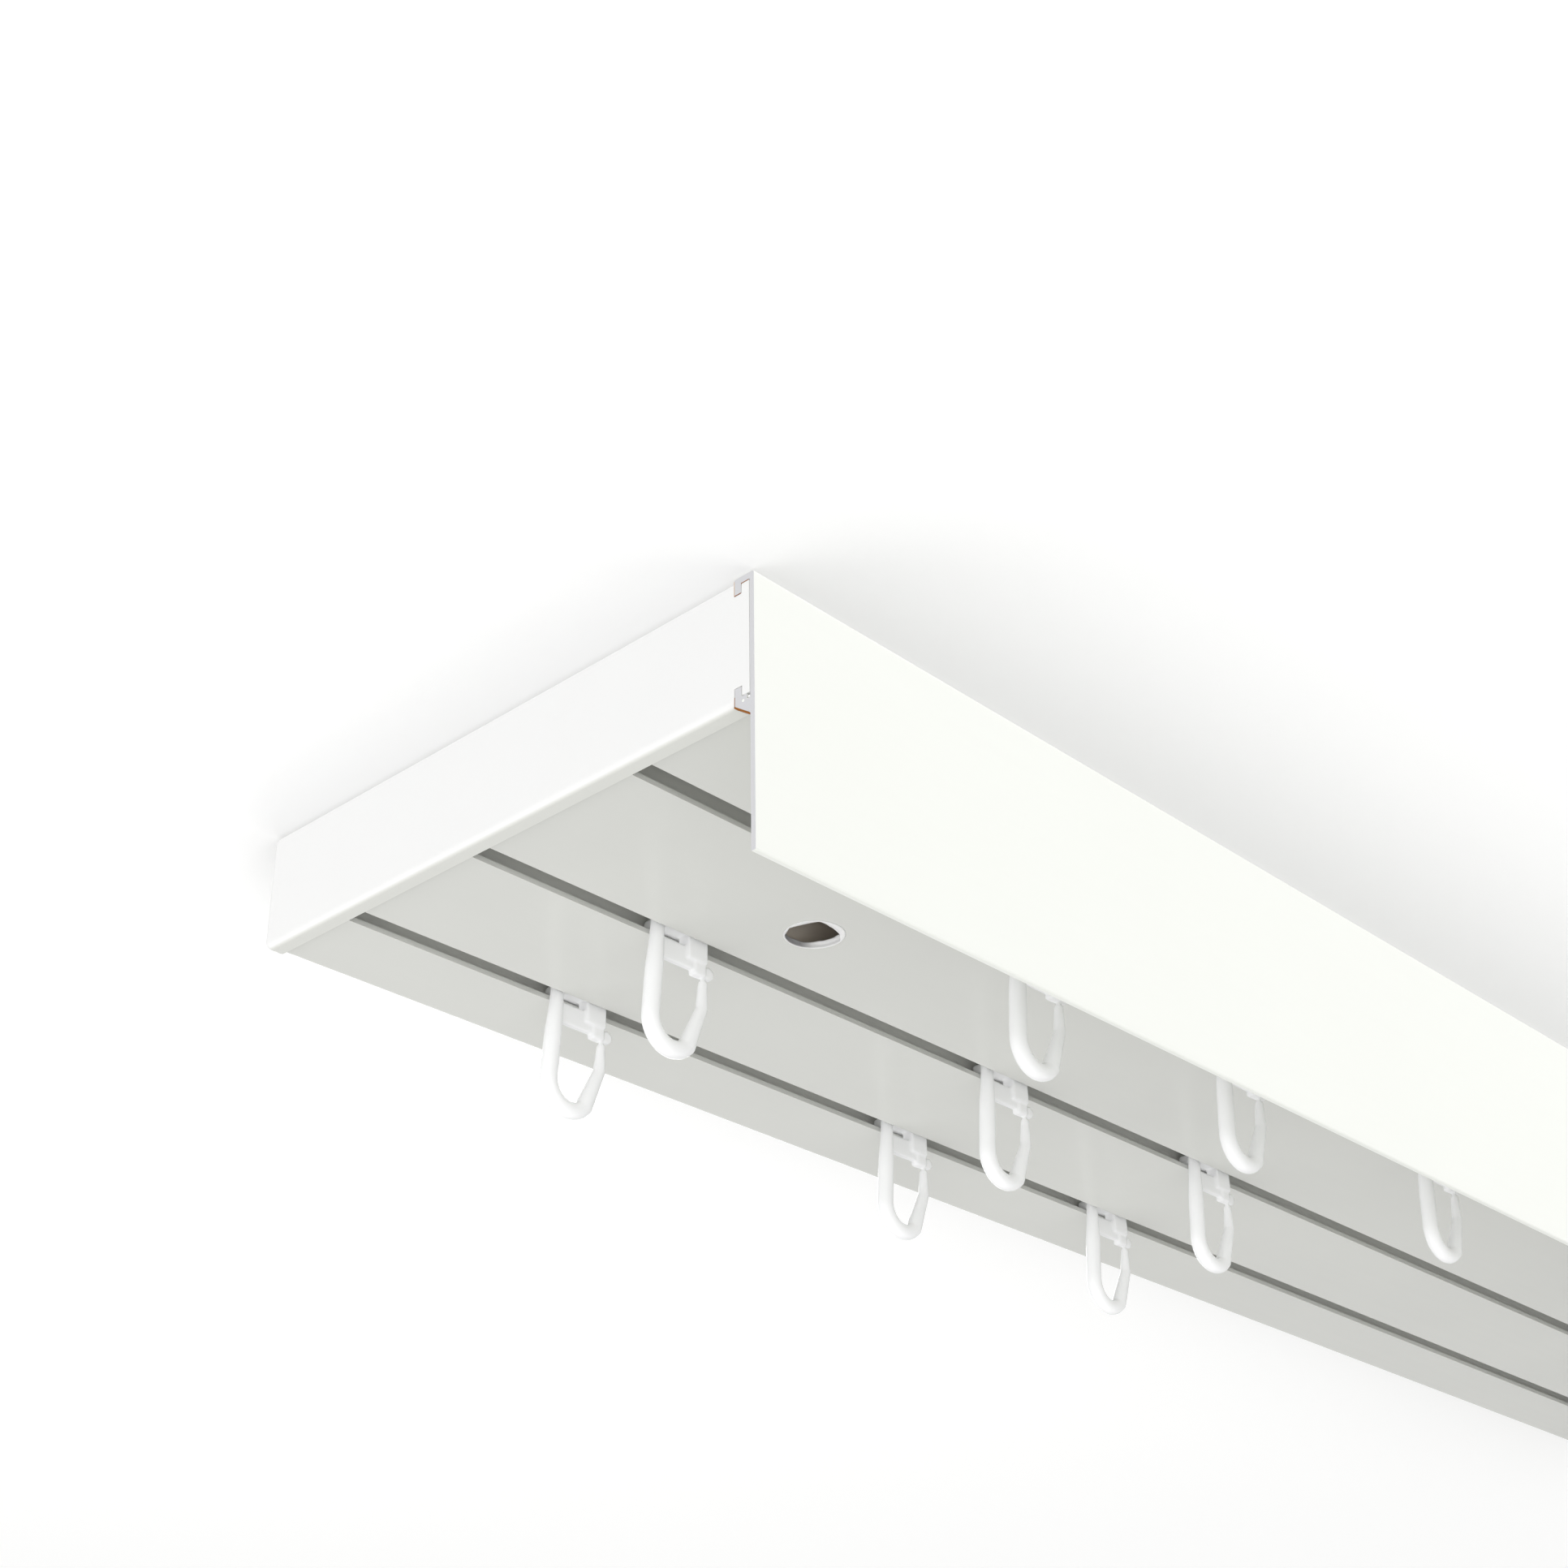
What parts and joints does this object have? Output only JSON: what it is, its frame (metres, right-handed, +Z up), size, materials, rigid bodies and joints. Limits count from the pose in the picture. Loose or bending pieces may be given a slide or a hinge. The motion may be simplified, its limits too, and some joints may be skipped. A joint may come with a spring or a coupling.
{
  "type": "curtain track",
  "caption": "Three-run ceiling curtain track with a clip-on front fascia, plug-in end caps and sliding hook gliders.",
  "frame": {"origin": "middle of the ceiling face, halfway along the track", "axes": "+X along the track, fascia towards -Y, +Z up to the ceiling"},
  "size_m": [0.6, 0.1255, 0.05],
  "materials": {
    "rail": "extruded white, satin",
    "fascia": "smooth white, satin",
    "end_cap": "moulded white, satin",
    "glider": "moulded white, glossy"
  },
  "bodies": {
    "track": {"rail": "rail", "fascia": "fascia", "end_cap_left": "end_cap", "end_cap_right": "end_cap"},
    "rear_glider_1": {"rear_glider_1": "glider"},
    "rear_glider_2": {"rear_glider_2": "glider"},
    "rear_glider_3": {"rear_glider_3": "glider"},
    "rear_glider_4": {"rear_glider_4": "glider"},
    "rear_glider_5": {"rear_glider_5": "glider"},
    "rear_glider_6": {"rear_glider_6": "glider"},
    "rear_glider_7": {"rear_glider_7": "glider"},
    "middle_glider_1": {"middle_glider_1": "glider"},
    "middle_glider_2": {"middle_glider_2": "glider"},
    "middle_glider_3": {"middle_glider_3": "glider"},
    "middle_glider_4": {"middle_glider_4": "glider"},
    "middle_glider_5": {"middle_glider_5": "glider"},
    "middle_glider_6": {"middle_glider_6": "glider"},
    "middle_glider_7": {"middle_glider_7": "glider"},
    "front_glider_1": {"front_glider_1": "glider"},
    "front_glider_2": {"front_glider_2": "glider"},
    "front_glider_3": {"front_glider_3": "glider"},
    "front_glider_4": {"front_glider_4": "glider"},
    "front_glider_5": {"front_glider_5": "glider"},
    "front_glider_6": {"front_glider_6": "glider"}
  },
  "joints": [
    {"name": "rear_glider_1_slide", "type": "slide", "parent": "track", "child": "rear_glider_1", "axis": [1, 0, 0], "range_m": [-0.0445, 0.077]},
    {"name": "rear_glider_2_slide", "type": "slide", "parent": "track", "child": "rear_glider_2", "axis": [1, 0, 0], "range_m": [-0.077, 0.0545]},
    {"name": "rear_glider_3_slide", "type": "slide", "parent": "track", "child": "rear_glider_3", "axis": [1, 0, 0], "range_m": [-0.0545, 0.228]},
    {"name": "rear_glider_4_slide", "type": "slide", "parent": "track", "child": "rear_glider_4", "axis": [1, 0, 0], "range_m": [-0.228, 0.0115]},
    {"name": "rear_glider_5_slide", "type": "slide", "parent": "track", "child": "rear_glider_5", "axis": [1, 0, 0], "range_m": [-0.0115, 0.0115]},
    {"name": "rear_glider_6_slide", "type": "slide", "parent": "track", "child": "rear_glider_6", "axis": [1, 0, 0], "range_m": [-0.0115, 0.0115]},
    {"name": "rear_glider_7_slide", "type": "slide", "parent": "track", "child": "rear_glider_7", "axis": [1, 0, 0], "range_m": [-0.0115, 0.024]},
    {"name": "middle_glider_1_slide", "type": "slide", "parent": "track", "child": "middle_glider_1", "axis": [1, 0, 0], "range_m": [-0.0385, 0.076]},
    {"name": "middle_glider_2_slide", "type": "slide", "parent": "track", "child": "middle_glider_2", "axis": [1, 0, 0], "range_m": [-0.076, 0.055]},
    {"name": "middle_glider_3_slide", "type": "slide", "parent": "track", "child": "middle_glider_3", "axis": [1, 0, 0], "range_m": [-0.055, 0.175]},
    {"name": "middle_glider_4_slide", "type": "slide", "parent": "track", "child": "middle_glider_4", "axis": [1, 0, 0], "range_m": [-0.175, 0.0215]},
    {"name": "middle_glider_5_slide", "type": "slide", "parent": "track", "child": "middle_glider_5", "axis": [1, 0, 0], "range_m": [-0.0215, 0.0215]},
    {"name": "middle_glider_6_slide", "type": "slide", "parent": "track", "child": "middle_glider_6", "axis": [1, 0, 0], "range_m": [-0.0215, 0.0215]},
    {"name": "middle_glider_7_slide", "type": "slide", "parent": "track", "child": "middle_glider_7", "axis": [1, 0, 0], "range_m": [-0.0215, 0.054]},
    {"name": "front_glider_1_slide", "type": "slide", "parent": "track", "child": "front_glider_1", "axis": [1, 0, 0], "range_m": [-0.093, 0.048]},
    {"name": "front_glider_2_slide", "type": "slide", "parent": "track", "child": "front_glider_2", "axis": [1, 0, 0], "range_m": [-0.048, 0.0595]},
    {"name": "front_glider_3_slide", "type": "slide", "parent": "track", "child": "front_glider_3", "axis": [1, 0, 0], "range_m": [-0.0595, 0.077]},
    {"name": "front_glider_4_slide", "type": "slide", "parent": "track", "child": "front_glider_4", "axis": [1, 0, 0], "range_m": [-0.077, 0.0565]},
    {"name": "front_glider_5_slide", "type": "slide", "parent": "track", "child": "front_glider_5", "axis": [1, 0, 0], "range_m": [-0.0565, 0.0565]},
    {"name": "front_glider_6_slide", "type": "slide", "parent": "track", "child": "front_glider_6", "axis": [1, 0, 0], "range_m": [-0.0565, 0.091]}
  ]
}
